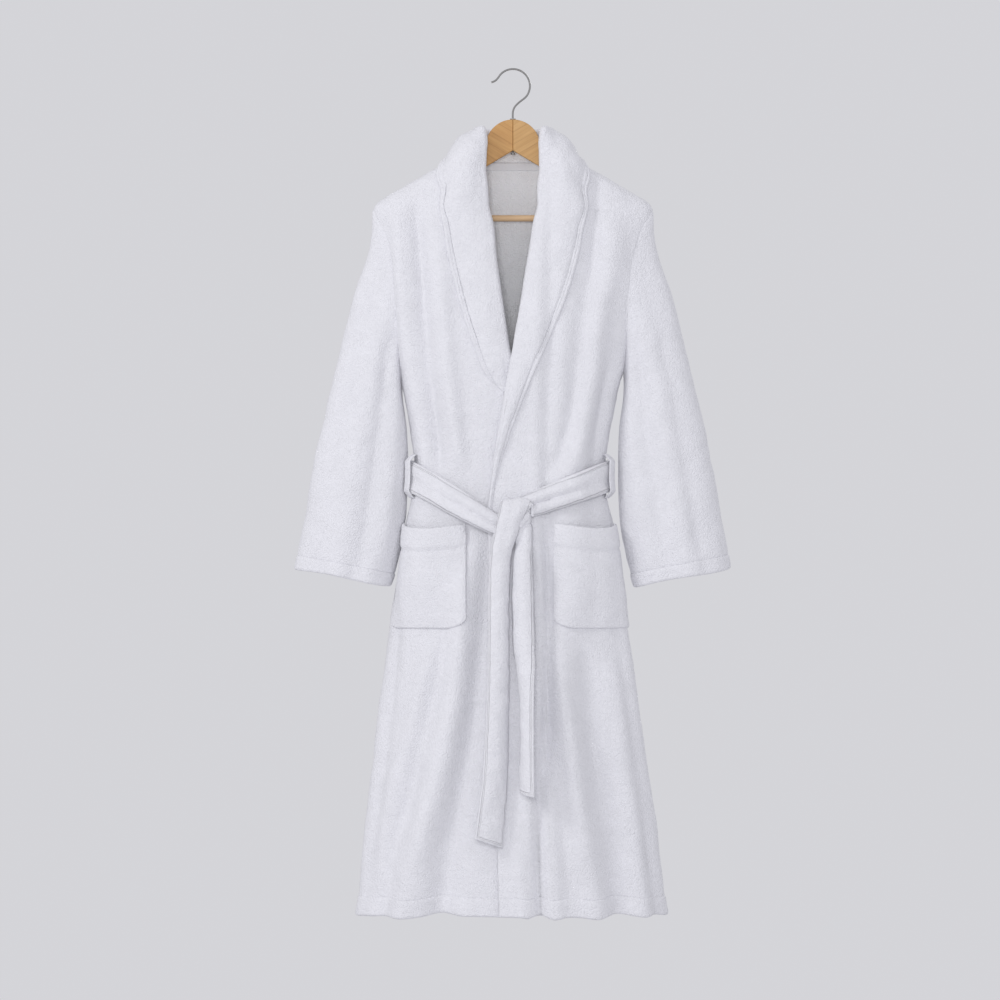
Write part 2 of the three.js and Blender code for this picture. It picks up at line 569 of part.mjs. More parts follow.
const shortTail = { topX: BELT_WIDTH / 2 - 7, bottomX: BELT_WIDTH / 2 - 6, endZ: SHORT_TAIL_END_Z, yaw: -32 };
const longTail = { topX: 7.5 - BELT_WIDTH / 2, bottomX: -6 - BELT_WIDTH / 2, endZ: LONG_TAIL_END_Z, yaw: 30 };
addMesh("belt_short_tail", tail(shortTail), cloth);
addMesh("belt_long_tail", tail(longTail), cloth);

// Belt loops at the side seams, standing off to let the belt through.
function beltLoop(side) {
  const middle = CLOTH + LAYER + 0.6 + BELT_THICKNESS + 2 * LAYER;
  const point = (u, v, extra) => {
    const z = BELT_Z + LOOP_HEIGHT * (0.5 - v);
    const phi = side * (Math.PI / 2 + (u - 0.5) * (LOOP_WIDTH / backDepth(z)) * 0.35);
    const out = mix(CLOTH + LAYER, middle, Math.min(1, 10 * Math.min(v, 1 - v)));
    return bodyPoint(phi, z, out + extra);
  };
  return slab(2, 10, (u, v) => point(u, v, 0), (u, v) => point(u, v, LOOP_THICKNESS));
}
addMesh("left_belt_loop", beltLoop(1), cloth);
addMesh("right_belt_loop", beltLoop(-1), cloth);

export default robe;
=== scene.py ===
"""Looks of the terry bathrobe on its hanger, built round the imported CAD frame.

The cloth is made in millimetres from the same section curves as the CAD: a rounded body section at each
height, with folds, over which the collar, pockets and belt are laid. Meshes are turned into metres last.
"""

import math

import bpy
import numpy as np
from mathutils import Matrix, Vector


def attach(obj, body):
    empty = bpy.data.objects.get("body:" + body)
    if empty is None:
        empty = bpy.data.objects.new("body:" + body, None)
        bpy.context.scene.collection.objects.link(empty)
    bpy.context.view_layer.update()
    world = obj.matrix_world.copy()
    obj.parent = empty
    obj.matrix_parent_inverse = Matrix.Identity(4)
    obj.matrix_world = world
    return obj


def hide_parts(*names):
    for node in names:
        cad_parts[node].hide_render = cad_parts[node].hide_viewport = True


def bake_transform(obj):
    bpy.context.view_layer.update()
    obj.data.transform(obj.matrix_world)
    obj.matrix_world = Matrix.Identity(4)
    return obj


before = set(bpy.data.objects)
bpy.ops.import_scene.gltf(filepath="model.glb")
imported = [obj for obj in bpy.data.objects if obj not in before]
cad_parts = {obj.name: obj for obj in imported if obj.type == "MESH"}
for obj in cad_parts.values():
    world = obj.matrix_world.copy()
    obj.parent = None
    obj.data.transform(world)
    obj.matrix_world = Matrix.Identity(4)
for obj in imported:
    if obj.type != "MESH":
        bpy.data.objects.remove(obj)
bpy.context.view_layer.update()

CLOTH = 4.0
LAYER = 0.7
OVERLAP = 12.0
PANEL_THICK = 4.4
BAND_THICK = 7.5


# ---- curves and noise ----
def ramp(x, a, b):
    t = np.clip((np.asarray(x, float) - a) / (b - a), 0, 1)
    return t * t * (3 - 2 * t)


def mix(a, b, t):
    return a + (b - a) * t


def through(pairs):
    """x(z) through (z, x) pairs listed from the top down, as a smooth spline."""
    zs = np.array([p[0] for p in pairs], float)
    xs = np.array([p[1] for p in pairs], float)
    lo = np.maximum(np.arange(len(zs)) - 1, 0)
    hi = np.minimum(np.arange(len(zs)) + 1, len(zs) - 1)
    slope = (xs[hi] - xs[lo]) / (zs[hi] - zs[lo])

    def at(z):
        z = np.asarray(z, float)
        i = np.clip(np.searchsorted(-zs, -z, side="right") - 1, 0, len(zs) - 2)
        span = zs[i + 1] - zs[i]
        t = np.clip((z - zs[i]) / span, 0, 1)
        s = t * t * (3 - 2 * t)
        bend = (t**3 - 2 * t * t + t) * span * slope[i] + (t**3 - t * t) * span * slope[i + 1]
        return xs[i] * (1 - s) + xs[i + 1] * s + bend

    return at


def waves(p, size, seed, count=14):
    """Soft noise of about -1 to 1 over points (..., 3), with features of that size in mm."""
    rng = np.random.default_rng(seed)
    out = np.zeros(p.shape[:-1])
    for _ in range(count):
        d = rng.normal(size=3)
        d *= 2 * math.pi / (size * rng.uniform(0.7, 1.5)) / np.linalg.norm(d)
        out += np.sin(p @ d + rng.uniform(0, 2 * math.pi))
    return out / math.sqrt(count)


# ---- body section ----
SHOULDER_APEX_Z, SHOULDER_FALL = -87.4, 0.59


def shoulder(z):
    """Half width of the body on the sloping shoulder line."""
    return 1.02 * (SHOULDER_APEX_Z - z) / SHOULDER_FALL - 0.2


half_width = through([
    (-93, 51), (-105, 56), (-118, 65), (-140, shoulder(-140)), (-160, shoulder(-160)), (-180, shoulder(-180)),
    (-200, shoulder(-200)), (-210, 207), (-224, 209), (-245, 205), (-290, 196), (-354, 188),
    (-430, 176), (-506, 157), (-580, 144), (-625, 142), (-660, 146), (-700, 156), (-810, 170),
    (-962, 189), (-1114, 209), (-1290, 230),
])
front_depth = through([
    (-93, 34), (-140, 27), (-217, 33), (-300, 43), (-450, 52), (-622, 46), (-700, 52), (-900, 68),
    (-1290, 88),
])
back_depth = through([
    (-93, 36), (-140, 27), (-217, 30), (-300, 34), (-450, 38), (-622, 38), (-700, 42), (-900, 52),
    (-1290, 66),
])
left_edge = through([
    (-93, 43), (-166, 41), (-233, 36), (-323, 20), (-436, 0), (-537, -15), (-620, -28), (-680, -33),
    (-1290, -18),
])
right_edge = through([
    (-93, -43), (-172, -41), (-219, -34), (-301, -23), (-382, -10), (-436, 0), (-520, 22),
    (-620, 52), (-700, 62), (-1290, 80),
])
# The whole body hangs a little towards the wearer's right below the chest.
sway = through([(-93, 0), (-300, 0), (-500, -3), (-640, -5), (-800, -4.5), (-1290, -3)])
ROUND = 0.8


def power(v):
    return np.sign(v) * np.abs(v) ** ROUND


def overlap_lift(x, z):
    return OVERLAP * (1 - ramp(x, 78, 138)) * (1 - ramp(z, -400, -250))


def bumps(x, z, folds):
    """Sum of folds: each is a line x(z), its height(z) and its half breadth."""
    out = np.zeros(np.broadcast(x, z).shape)
    for line, height, breadth in folds:
        out += 1.3 * height(z) * np.exp(-(((x - line(z)) / breadth(z)) ** 2))
    return out


def fold(points, heights, breadths):
    """A fold as three curves of z: where it runs, how far it stands out and its half breadth."""
    return through(points), through(heights), through(breadths)


FRONT_FOLDS = [
    # wearer's right front, from the shoulder to the belt
    fold([(-230, -176), (-350, -168), (-500, -152), (-620, -132)],
         [(-200, 0), (-260, 6), (-500, 8), (-590, 7), (-625, 1)], [(-200, 15), (-620, 12)]),
    fold([(-200, -118), (-330, -110), (-407, -102), (-521, -87), (-612, -74)],
         [(-170, 0), (-230, 4), (-400, 6), (-560, 8), (-625, 1)], [(-200, 18), (-620, 11)]),
    fold([(-230, -146), (-430, -129), (-612, -106)],
         [(-190, 0), (-260, -7), (-430, -7), (-580, -8), (-625, -1)], [(-200, 11), (-620, 9)]),
    # wearer's left front, from the shoulder to the belt
    fold([(-240, 152), (-316, 146), (-362, 133), (-476, 121), (-612, 95)],
         [(-200, 0), (-260, 5), (-476, 9), (-590, 7), (-625, 1)], [(-200, 20), (-620, 13)]),
    fold([(-150, 130), (-300, 122), (-340, 116)],
         [(-150, 0), (-185, -5), (-280, -6), (-340, 0)], [(-150, 9), (-340, 12)]),
    fold([(-300, 118), (-400, 101), (-521, 90), (-612, 70)],
         [(-250, 0), (-350, -3), (-500, -6), (-590, -6), (-625, 0)], [(-250, 20), (-620, 11)]),
    fold([(-420, 152), (-620, 122)], [(-400, 0), (-520, -5), (-620, -1)], [(-400, 14), (-620, 10)]),
    # wearer's right skirt
    fold([(-700, -50), (-772, -65), (-932, -83), (-1046, -101), (-1114, -117), (-1205, -150), (-1290, -166)],
         [(-690, 0), (-740, 4), (-900, 9), (-1150, 13), (-1290, 12)],
         [(-700, 15), (-1000, 21), (-1290, 30)]),
    fold([(-800, -104), (-863, -108), (-955, -136), (-1091, -172), (-1200, -200), (-1290, -214)],
         [(-820, 0), (-900, 4), (-1100, 6), (-1290, 5)], [(-800, 13), (-1290, 18)]),
    fold([(-700, -28), (-900, -46), (-1100, -78), (-1290, -106)],
         [(-700, 0), (-760, -4), (-1000, -8), (-1290, -12)], [(-700, 13), (-1290, 24)]),
    fold([(-800, -84), (-932, -112), (-1100, -150), (-1290, -190)],
         [(-800, 0), (-900, -4), (-1290, -7)], [(-700, 12), (-1290, 17)]),
    # wearer's left skirt: the facing's ridge, the valley beside it and the folds outwards of it
    fold([(-690, 38), (-850, 42), (-1000, 36), (-1100, 26), (-1200, 25), (-1290, 27)],
         [(-690, 2), (-760, 6), (-1000, 7), (-1200, 8), (-1290, 6)], [(-690, 8), (-1290, 11)]),
    fold([(-690, 56), (-850, 58), (-1000, 54), (-1100, 46), (-1200, 42), (-1290, 43)],
         [(-690, -4), (-760, -11), (-1000, -12), (-1100, -10), (-1290, -9)], [(-690, 11), (-1290, 10)]),
    fold([(-840, 60), (-932, 70), (-1023, 87), (-1114, 102), (-1228, 121), (-1290, 128)],
         [(-780, 0), (-900, 7), (-1100, 10), (-1290, 11)], [(-800, 12), (-1290, 20)]),
    fold([(-1050, 50), (-1137, 56), (-1290, 66)],
         [(-1000, 0), (-1130, 8), (-1290, 10)], [(-1000, 10), (-1290, 13)]),
    fold([(-800, 96), (-1000, 122), (-1150, 150), (-1290, 164)],
         [(-800, 0), (-950, -6), (-1290, -9)], [(-800, 16), (-1290, 20)]),
    fold([(-900, 150), (-1100, 180), (-1290, 200)],
         [(-880, 0), (-1000, 4), (-1290, 7)], [(-900, 16), (-1290, 18)]),
]
BACK_FOLDS = [
    fold([(-300, x), (-620, x * 0.78)], [(-260, 0), (-450, h), (-590, h), (-625, 1)],
         [(-300, 24), (-620, 13)])
    for x, h in ((-128, 7), (-92, -6), (-55, 7), (-15, -4), (24, 6), (66, -6), (104, 8), (140, -4))
] + [
    fold([(-660, x * 0.72), (-1290, x * 1.35)], [(-640, 0), (-760, h * 0.6), (-1290, h)],
         [(-660, 13), (-1290, 27)])
    for x, h in ((-138, 10), (-104, -9), (-66, 12), (-28, -9), (10, 8), (48, -10), (88, 12), (124, -9),
                 (150, 7))
]


def section(phi, z):
    s, c = np.sin(phi), np.cos(phi)
    depth = np.where(c > 0, front_depth(z), back_depth(z))
    return np.stack([half_width(z) * power(s), -depth * power(c), z + 0 * phi], -1)


def unit(v):
    return v / np.maximum(np.linalg.norm(v, axis=-1, keepdims=True), 1e-12)


def body_normal(phi, z):
    along = section(phi + 0.004, z) - section(phi - 0.004, z)
    down = section(phi, z - 1.0) - section(phi, z + 1.0)
    n = unit(np.cross(along, down))
    outward = np.stack([np.sin(phi), -np.cos(phi), 0 * phi], -1)
    return n * np.sign((n * outward).sum(-1, keepdims=True) + 1e-9)


def drape(phi, z):
    """How far the folds push the cloth out along its normal."""
    p = section(phi, z)
    w = half_width(z)
    side = 1 - ramp(np.abs(p[..., 0]) / w, 0.86, 1.0)
    front = bumps(p[..., 0], z, FRONT_FOLDS)
    back = bumps(p[..., 0], z, BACK_FOLDS)
    out = np.where(np.cos(phi) > 0, front, back) * side
    low = ramp(z, -700, -900)
    side_folds = 6 * np.sin(phi * 9 + z * 0.004) * (1 - side) * low
    return out + side_folds + 0.9 * waves(p, 75, 3) + 0.35 * waves(p, 22, 5)


def body(phi, z, lift=0.0, folds=1.0):
    phi, z = np.broadcast_arrays(np.asarray(phi, float), np.asarray(z, float))
    p = section(phi, z) + body_normal(phi, z) * (lift + folds * drape(phi, z))[..., None]
    p[..., 0] += sway(z)
    return p


def phi_of_x(x, z):
    return np.arcsin(np.sign(x) * np.minimum(1, np.abs(x / half_width(z))) ** (1 / ROUND))


ARM_TOP, ARM_BOTTOM, ARM_DEPTH = -215.0, -457.0, 24.0
ARM_MID, ARM_HALF = (ARM_TOP + ARM_BOTTOM) / 2, (ARM_TOP - ARM_BOTTOM) / 2


def arm_half(z):
    c = (z - ARM_MID) / ARM_HALF
    return ARM_DEPTH * np.sqrt(np.maximum(0, 1 - c * c))


def front_side_phi(z):
    return np.arccos(np.minimum(1, (arm_half(z) + 0.15) / front_depth(z)) ** (1 / ROUND))


def back_side_phi(z):
    return math.pi - np.arccos(np.minimum(1, (arm_half(z) + 0.15) / back_depth(z)) ** (1 / ROUND))


def past_seam(z):
    """How much further than its seam line a panel reaches, so that no gap shows."""
    return 0.018 + 0.026 * arm_half(z) / ARM_DEPTH


# ---- meshes ----
def samples(length, step):
    """Positions 0 to 1 along a run of that length in mm, closer together at both ends."""
    n = max(2, int(round(length / step)))
    inner = np.linspace(0, 1, n + 1)
    rim = np.array([0.0, 0.45, 1.2, 2.4, 4.0]) / length
    inner = inner[(inner > rim[-1] + 0.3 * step / length) & (inner < 1 - rim[-1] - 0.3 * step / length)]
    return np.concatenate([rim, inner, 1 - rim[::-1]])


def make_mesh(name, points, quads, body_name=None, replaced=(), slot="terry", material=None, edge=None):
    mesh = bpy.data.meshes.new(name)
    mesh.from_pydata((np.asarray(points) * 0.001).tolist(), [], [list(map(int, q)) for q in quads])
    mesh.validate()
    mesh.update()
    for poly in mesh.polygons:
        poly.use_smooth = True
    if edge is not None:
        attribute = mesh.attributes.new("edge", "FLOAT", "POINT")
        attribute.data.foreach_set("value", np.asarray(edge, np.float32))
    obj = bpy.data.objects.new(name, mesh)
    bpy.context.collection.objects.link(obj)
    if material is not None:
        mesh.materials.append(material)
    if replaced:
        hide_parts(*replaced)
    if body_name:
        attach(obj, body_name)
    return obj


def edge_distance(mid, closed_u):
    """Distance in mm of each grid point from the nearest open edge, along the grid lines."""
    dv = np.linalg.norm(np.diff(mid, axis=0), axis=-1)
    sv = np.concatenate([np.zeros((1, mid.shape[1])), np.cumsum(dv, 0)])
    dist = np.minimum(sv, sv[-1:] - sv)
    if not closed_u:
        du = np.linalg.norm(np.diff(mid, axis=1), axis=-1)
        su = np.concatenate([np.zeros((mid.shape[0], 1)), np.cumsum(du, 1)], 1)
        dist = np.minimum(dist, np.minimum(su, su[:, -1:] - su))
    return dist


def cloth_mesh(name, mid, thick, outward, closed_u=False, rim=None, **kw):
    """A closed sheet about a grid of middle points, with rounded edges. outward points out of its face."""
    nv, nu = mid.shape[:2]
    if closed_u:
        wide = np.concatenate([mid[:, -1:], mid, mid[:, :1]], 1)
        gu = (wide[:, 2:] - wide[:, :-2]) / 2
    else:
        gu = np.gradient(mid, axis=1)
    gv = np.gradient(mid, axis=0)
    n = unit(np.cross(gu, gv))
    if float((n * outward).sum()) < 0:
        n = -n
    dist = edge_distance(mid, closed_u)
    radius = rim or 0.5 * float(np.max(thick)) + 0.6
    t = np.clip(dist / radius, 0, 1)
    half = 0.5 * thick * np.sqrt(np.maximum(0, 1 - (1 - t) ** 2))
    inner, outer = mid - n * half[..., None], mid + n * half[..., None]
    index_in = np.arange(nv * nu).reshape(nv, nu)
    index_out = index_in + nv * nu
    rim_mask = np.zeros((nv, nu), bool)
    rim_mask[0] = rim_mask[-1] = True
    if not closed_u:
        rim_mask[:, 0] = rim_mask[:, -1] = True
    index_out = np.where(rim_mask, index_in, index_out)
    quads = []
    cols = nu if closed_u else nu - 1
    for side, flip in ((index_out, False), (index_in, True)):
        a = side[:-1, :cols]
        b = np.roll(side, -1, axis=1)[:-1, :cols]
        c = np.roll(side, -1, axis=1)[1:, :cols]
        d = side[1:, :cols]
        q = np.stack([a, b, c, d], -1).reshape(-1, 4)
        quads.append(q[:, ::-1] if flip else q)
    quads = np.concatenate(quads)
    points = np.concatenate([inner.reshape(-1, 3), outer.reshape(-1, 3)])
    sample = quads[len(quads) // 4]
    face_n = np.cross(points[sample[1]] - points[sample[0]], points[sample[2]] - points[sample[0]])
    if face_n @ n.reshape(-1, 3)[sample[0] % (nv * nu)] < 0:
        quads = quads[:, ::-1]
    used = np.unique(quads)
    renumber = np.full(len(points), -1)
    renumber[used] = np.arange(len(used))
    edge = np.concatenate([dist.ravel(), dist.ravel()])[used]
    return make_mesh(name, points[used], renumber[quads], edge=edge, **kw)


def paint_inside_lighter(obj):
    """The second half of a cloth mesh's faces is its inner side, which gets a lighter copy of the terry:
    painted light for the inside seen through the neck opening.
    """
    obj.data.materials.append(terry_inside_painted_light)
    faces = obj.data.polygons
    for face in list(faces)[len(faces) // 2:]:
        face.material_index = 1


def cord_mesh(name, path, radius, sides=12, **kw):
    """A round closed cord along points, with rounded ends."""
    path = np.asarray(path, float)
    t = unit(np.gradient(path, axis=0))
    up = np.array([0.0, 0.0, 1.0]) if abs(t[0, 2]) < 0.9 else np.array([0.0, 1.0, 0.0])
    frames = []
    for row in t:
        up = unit(up - row * (up @ row))
        frames.append((up, np.cross(row, up)))
    angles = np.linspace(0, 2 * math.pi, sides, endpoint=False)
    r = np.broadcast_to(np.asarray(radius, float), (len(path),))
    rings = [p + rr * (np.cos(angles)[:, None] * f[0] + np.sin(angles)[:, None] * f[1])
             for p, f, rr in zip(path, frames, r)]
    points = np.concatenate(rings + [[path[0] - t[0] * r[0] * 0.5], [path[-1] + t[-1] * r[-1] * 0.5]])
    n = len(path)
    quads = []
    for i in range(n - 1):
        for k in range(sides):
            k2 = (k + 1) % sides
            quads.append([i * sides + k, i * sides + k2, (i + 1) * sides + k2, (i + 1) * sides + k])
    start, end = n * sides, n * sides + 1
    for k in range(sides):
        k2 = (k + 1) % sides
        quads.append([start, k2, k])
        quads.append([end, (n - 1) * sides + k, (n - 1) * sides + k2])
    return make_mesh(name, points, quads, **kw)


# ---- materials ----
def new_material(name):
    material = bpy.data.materials.new(name)
    material.use_nodes = True
    nodes = material.node_tree.nodes
    return material, nodes, material.node_tree.links, nodes["Principled BSDF"]


def add(nodes, kind, **inputs):
    node = nodes.new(kind)
    for key, value in inputs.items():
        node.inputs[key.replace("_", " ")].default_value = value
    return node


def terry_material(name, color, pile=1.0, stitches=()):
    """Looped cotton pile: small tufts in the bump and a faint variation in the colour."""
    material, nodes, links, shader = new_material(name)
    shader.inputs["Roughness"].default_value = 0.95
    shader.inputs["Sheen Weight"].default_value = 0.25
    shader.inputs["Sheen Roughness"].default_value = 0.5
    shader.inputs["Specular IOR Level"].default_value = 0.1
    where = nodes.new("ShaderNodeTexCoord")
    tufts = add(nodes, "ShaderNodeTexVoronoi", Scale=430.0, Randomness=1.0)
    clumps = add(nodes, "ShaderNodeTexNoise", Scale=170.0, Detail=3.0, Roughness=0.6)
    broad = add(nodes, "ShaderNodeTexNoise", Scale=38.0, Detail=2.0, Roughness=0.5)
    for node in (tufts, clumps, broad):
        links.new(where.outputs["Object"], node.inputs["Vector"])
    near = add(nodes, "ShaderNodeMath")
    near.operation = "MULTIPLY"
    near.inputs[1].default_value = -0.9
    links.new(tufts.outputs["Distance"], near.inputs[0])
    height = nodes.new("ShaderNodeMath")
    height.operation = "MULTIPLY_ADD"
    height.inputs[1].default_value = 1.3
    links.new(clumps.outputs["Fac"], height.inputs[0])
    links.new(near.outputs[0], height.inputs[2])
    result = height
    if stitches:
        edge = nodes.new("ShaderNodeAttribute")
        edge.attribute_name = "edge"
        for distance in stitches:
            away = nodes.new("ShaderNodeMath")
            away.operation = "SUBTRACT"
            away.inputs[1].default_value = distance
            links.new(edge.outputs["Fac"], away.inputs[0])
            size = nodes.new("ShaderNodeMath")
            size.operation = "ABSOLUTE"
            links.new(away.outputs[0], size.inputs[0])
            groove = nodes.new("ShaderNodeMapRange")
            groove.interpolation_type = "SMOOTHSTEP"
            groove.inputs["From Min"].default_value = 0.3
            groove.inputs["From Max"].default_value = 1.8
            groove.inputs["To Min"].default_value = -2.2
            groove.inputs["To Max"].default_value = 0.0
            links.new(size.outputs[0], groove.inputs["Value"])
            total = nodes.new("ShaderNodeMath")
            total.operation = "ADD"
            links.new(result.outputs[0], total.inputs[0])
            links.new(groove.outputs["Result"], total.inputs[1])
            result = total
    bump = add(nodes, "ShaderNodeBump", Strength=0.7 * pile, Distance=0.0016)
    links.new(result.outputs[0], bump.inputs["Height"])
    links.new(bump.outputs["Normal"], shader.inputs["Normal"])
    tint = nodes.new("ShaderNodeValToRGB")
    tint.color_ramp.elements[0].position = 0.3
    tint.color_ramp.elements[1].position = 0.72
    dark = [c * 0.93 for c in color]
    tint.color_ramp.elements[0].color = (*dark, 1)
    tint.color_ramp.elements[1].color = (*color, 1)
    blend = nodes.new("ShaderNodeMath")
    blend.operation = "MULTIPLY_ADD"
    blend.inputs[1].default_value = 0.5
    links.new(broad.outputs["Fac"], blend.inputs[0])
    half = nodes.new("ShaderNodeMath")
    half.operation = "MULTIPLY"
    half.inputs[1].default_value = 0.5
    links.new(clumps.outputs["Fac"], half.inputs[0])
    links.new(half.outputs[0], blend.inputs[2])
    links.new(blend.outputs[0], tint.inputs["Fac"])
    links.new(tint.outputs["Color"], shader.inputs["Base Color"])
    return material


WHITE = (0.775, 0.772, 0.81)
# The inner faces get a lighter white than the outside: painted light standing in for light that reaches the
# inside of the robe.
INSIDE_PAINTED_LIGHT_WHITE = (0.92, 0.918, 0.94)
terry = terry_material("terry", WHITE)
terry_stitched = terry_material("terry_stitched", WHITE, stitches=(4.5,))
terry_inside_painted_light = terry_material("terry_inside_painted_light", INSIDE_PAINTED_LIGHT_WHITE)
tape_material = terry_material("tape", (0.82, 0.82, 0.85), pile=0.3)


def wood_material(name, slope, light, dark):
    """Laminated light wood: fine grain along the arm and glue lines between the strips."""
    material, nodes, links, shader = new_material(name)
    shader.inputs["Roughness"].default_value = 0.5
    shader.inputs["Specular IOR Level"].default_value = 0.22
    where = nodes.new("ShaderNodeTexCoord")
    turn = nodes.new("ShaderNodeMapping")
    turn.inputs["Rotation"].default_value = (0, slope, 0)
    links.new(where.outputs["Object"], turn.inputs["Vector"])
    stretch = nodes.new("ShaderNodeMapping")
    stretch.inputs["Scale"].default_value = (14, 120, 260)
    links.new(turn.outputs["Vector"], stretch.inputs["Vector"])
    grain = add(nodes, "ShaderNodeTexNoise", Scale=1.0, Detail=5.0, Roughness=0.6, Distortion=0.6)
    links.new(stretch.outputs["Vector"], grain.inputs["Vector"])
    strips = add(nodes, "ShaderNodeTexWave", Scale=19.0, Distortion=0.15, Detail=1.0)
    strips.bands_direction = "Z"
    strips.wave_profile = "SAW"
    links.new(turn.outputs["Vector"], strips.inputs["Vector"])
    ramp_node = nodes.new("ShaderNodeValToRGB")
    ramp_node.color_ramp.elements[0].position = 0.28
    ramp_node.color_ramp.elements[1].position = 0.72
    ramp_node.color_ramp.elements[0].color = (*dark, 1)
    ramp_node.color_ramp.elements[1].color = (*light, 1)
    links.new(grain.outputs["Fac"], ramp_node.inputs["Fac"])
    glue = nodes.new("ShaderNodeValToRGB")
    glue.color_ramp.elements[0].position = 0.0
    glue.color_ramp.elements[0].color = (0.62, 0.55, 0.5, 1)
    glue.color_ramp.elements[1].position = 0.07
    glue.color_ramp.elements[1].color = (1, 1, 1, 1)
    links.new(strips.outputs["Fac"], glue.inputs["Fac"])
    both = nodes.new("ShaderNodeMix")
    both.data_type = "RGBA"
    both.blend_type = "MULTIPLY"
    both.inputs["Factor"].default_value = 0.75
    links.new(ramp_node.outputs["Color"], both.inputs[6])
    links.new(glue.outputs["Color"], both.inputs[7])
    links.new(both.outputs[2], shader.inputs["Base Color"])
    bump = add(nodes, "ShaderNodeBump", Strength=0.15, Distance=0.0004)
    links.new(grain.outputs["Fac"], bump.inputs["Height"])
    links.new(bump.outputs["Normal"], shader.inputs["Normal"])
    return material


def steel_material():
    material, nodes, links, shader = new_material("steel")
    shader.inputs["Metallic"].default_value = 1.0
    shader.inputs["Base Color"].default_value = (0.33, 0.325, 0.32, 1)
    where = nodes.new("ShaderNodeTexCoord")
    scratches = add(nodes, "ShaderNodeTexNoise", Scale=900.0, Detail=3.0)
    links.new(where.outputs["Object"], scratches.inputs["Vector"])
    rough = nodes.new("ShaderNodeMapRange")
    rough.inputs["To Min"].default_value = 0.26
    rough.inputs["To Max"].default_value = 0.34
    links.new(scratches.outputs["Fac"], rough.inputs["Value"])
    links.new(rough.outputs["Result"], shader.inputs["Roughness"])
    return material


steel = steel_material()
left_wood = wood_material("wood_left", 0.53, (0.61, 0.377, 0.166), (0.475, 0.274, 0.108))
right_wood = wood_material("wood_right", -0.53, (0.60, 0.352, 0.139), (0.46, 0.241, 0.088))
bar_wood = wood_material("wood_bar", 0.0, (0.74, 0.53, 0.33), (0.63, 0.41, 0.23))


def dress(node, material):
    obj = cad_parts[node]
    obj.data.materials.clear()
    obj.data.materials.append(material)


for node in ("hook", "hook_nut", "hook_washer"):
    dress(node, steel)
dress("hanger_left_arm", left_wood)
dress("hanger_right_arm", right_wood)
dress("hanger_bar", bar_wood)


# ---- body panels and hems ----
TOP, SEAM, HEM = -140.0, -1263.0, -1290.0
STEP = 5.0


def hem_drop(phi, z):
    """The hem hangs lower where a fold stands forward."""
    return -0.35 * drape(phi, z) * ramp(z, -1050, -1290)


def strip(us, vs, phi_from, phi_to, z_from, z_to, lift, folds=1.0):
    u, v = np.meshgrid(us, vs)
    z = mix(z_from, z_to, v)
    phi = mix(phi_from(z), phi_to(z), u)
    x = section(phi, z)[..., 0]
    mid = body(phi, z, lift(x, z), folds)
    mid[..., 2] += hem_drop(phi, z)
    out = body_normal(phi, z)
    return mid, out


def tucked(side):
    """Free edge of a front, drawn back from the roll where the collar is turned over it."""
    edge, end = (left_edge, -640) if side > 0 else (right_edge, -470)
    return lambda z: phi_of_x(edge(z) + side * 6 * ramp(z, end - 30, end + 30), z)


def flat(x, z):
    return 0 * x + CLOTH / 2


def over(x, z):
    return overlap_lift(x, z) + CLOTH / 2


def front(side, z_from, z_to, thick, name, nodes):
    us = samples(230, STEP)
    vs = samples(abs(z_to - z_from), STEP if z_from == TOP else 5)
    lift = over if side > 0 else flat
    mid, out = strip(us, vs, tucked(side), lambda z: side * (front_side_phi(z) + past_seam(z)),
                     z_from, z_to, lift)
    return cloth_mesh(name, mid, thick, out, body_name="robe", replaced=nodes, material=terry)


left_front = front(1, TOP, SEAM, PANEL_THICK, "left_front", ("left_front",))
right_front = front(-1, TOP, SEAM, PANEL_THICK, "right_front", ("right_front",))
left_hem = front(1, SEAM + 2, HEM, BAND_THICK, "left_front_hem", ("left_front_hem",))
right_hem = front(-1, SEAM + 2, HEM, BAND_THICK, "right_front_hem", ("right_front_hem",))


def back(z_from, z_to, thick, name, nodes):
    us = samples(430, STEP)
    vs = samples(abs(z_to - z_from), STEP)
    mid, out = strip(us, vs, lambda z: back_side_phi(z) - past_seam(z),
                     lambda z: 2 * math.pi - back_side_phi(z) + past_seam(z), z_from, z_to, flat)
    return cloth_mesh(name, mid, thick, out, body_name="robe", replaced=nodes, material=terry)


back_panel = back(TOP, SEAM, PANEL_THICK, "back_panel", ("back_panel",))
back_hem = back(SEAM + 2, HEM, BAND_THICK, "back_hem", ("back_hem",))


def facing(side):
    edge = left_edge if side > 0 else right_edge
    us, vs = samples(55, 6), samples(718, 6)
    u, v = np.meshgrid(us, vs)
    z = mix(-545, -1262, v)
    x = edge(z) + side * mix(1.0, 55, u)
    phi = phi_of_x(x, z)
    lift = (overlap_lift(x, z) if side > 0 else 0) - LAYER - 1.5
    mid = body(phi, z, lift)
    name = "left_facing" if side > 0 else "right_facing"
    return cloth_mesh(name, mid, 3.0, body_normal(phi, z), body_name="robe", replaced=(name,), material=terry)


left_facing, right_facing = facing(1), facing(-1)
# The inner faces of these panels get the lighter inside terry: painted light for the inside of the robe.
for panel in (left_front, right_front, back_panel, left_facing, right_facing):
    paint_inside_lighter(panel)

# ---- collar ----
left_outer = through([
    (-150, 109), (-190, 110), (-233, 105), (-301, 91), (-369, 69), (-423, 47), (-477, 24), (-537, 2),
    (-600, -17), (-650, -25.5), (-693, -31.5),
])
right_outer = through([
    (-150, -109), (-193, -107), (-260, -99), (-309, -88), (-369, -72), (-423, -53), (-469, -34),
    (-496, -14), (-520, 12),
])
ROLL_TOP = -93.0


